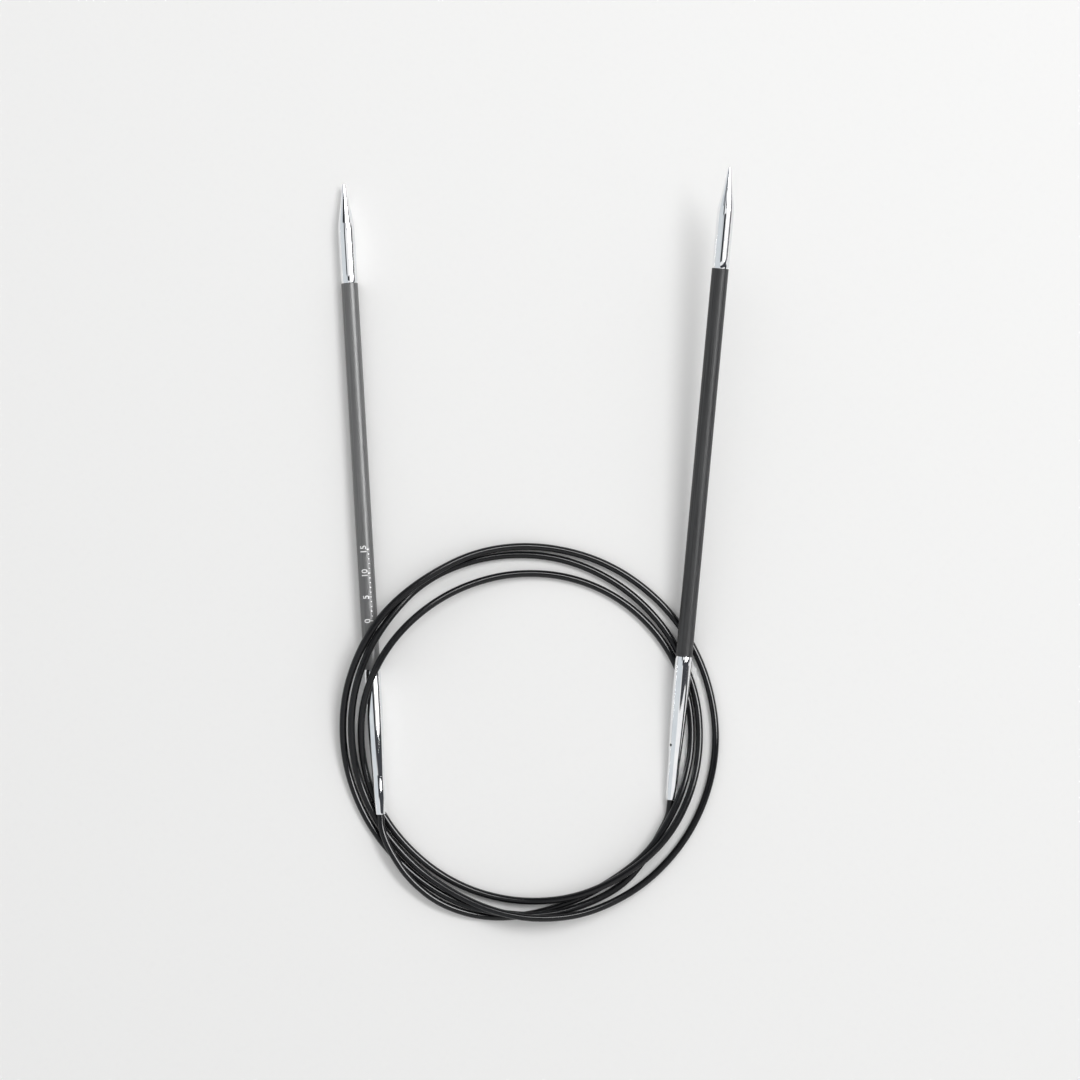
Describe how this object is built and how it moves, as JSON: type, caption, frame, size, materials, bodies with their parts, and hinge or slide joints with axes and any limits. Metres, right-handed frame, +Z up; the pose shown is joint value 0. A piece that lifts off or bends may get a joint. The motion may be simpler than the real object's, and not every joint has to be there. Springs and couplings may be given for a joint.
{
  "type": "circular knitting needle",
  "caption": "Pair of straight carbon-shafted knitting needles with tapered metal points, joined through metal ferrules by a long thin flexible cord that lies in loose turns.",
  "frame": {"origin": "on the floor, under the middle of the box around the two needles", "axes": "+Z up from the floor, +Y from the cord joins towards the points of the needles, +X to the right"},
  "size_m": [0.0826, 0.1573, 0.0132],
  "materials": {
    "nickel": "bright nickel plate on brass, polished",
    "carbon_fibre": "satin pultruded carbon fibre, fine lengthwise grain",
    "cord": "gloss black extruded flexible plastic",
    "washer_plastic": "natural acetal",
    "plug_plastic": "black acetal, as turned",
    "crimp_steel": "plain crimped sleeve"
  },
  "bodies": {
    "cord": {"cord_lead_left": "cord", "cord_coil": "cord", "cord_lead_right": "cord", "left_cord_anchor": "crimp_steel", "right_cord_anchor": "crimp_steel"},
    "left_needle": {"left_tip": "nickel", "left_shaft": "carbon_fibre", "left_ferrule": "nickel", "left_thrust_washer": "washer_plastic", "left_stop_plug": "plug_plastic"},
    "right_needle": {"right_tip": "nickel", "right_shaft": "carbon_fibre", "right_ferrule": "nickel", "right_thrust_washer": "washer_plastic", "right_stop_plug": "plug_plastic"}
  },
  "joints": [
    {"name": "left_swivel", "type": "hinge", "parent": "cord", "child": "left_needle", "pos_m": [-0.03227, -0.06732, 0.00272], "axis": [-0.0591, 0.9982, -0.0079], "continuous": true},
    {"name": "right_swivel", "type": "hinge", "parent": "cord", "child": "right_needle", "pos_m": [0.02866, -0.06435, 0.00122], "axis": [0.0884, 0.9926, 0.0832], "continuous": true}
  ]
}
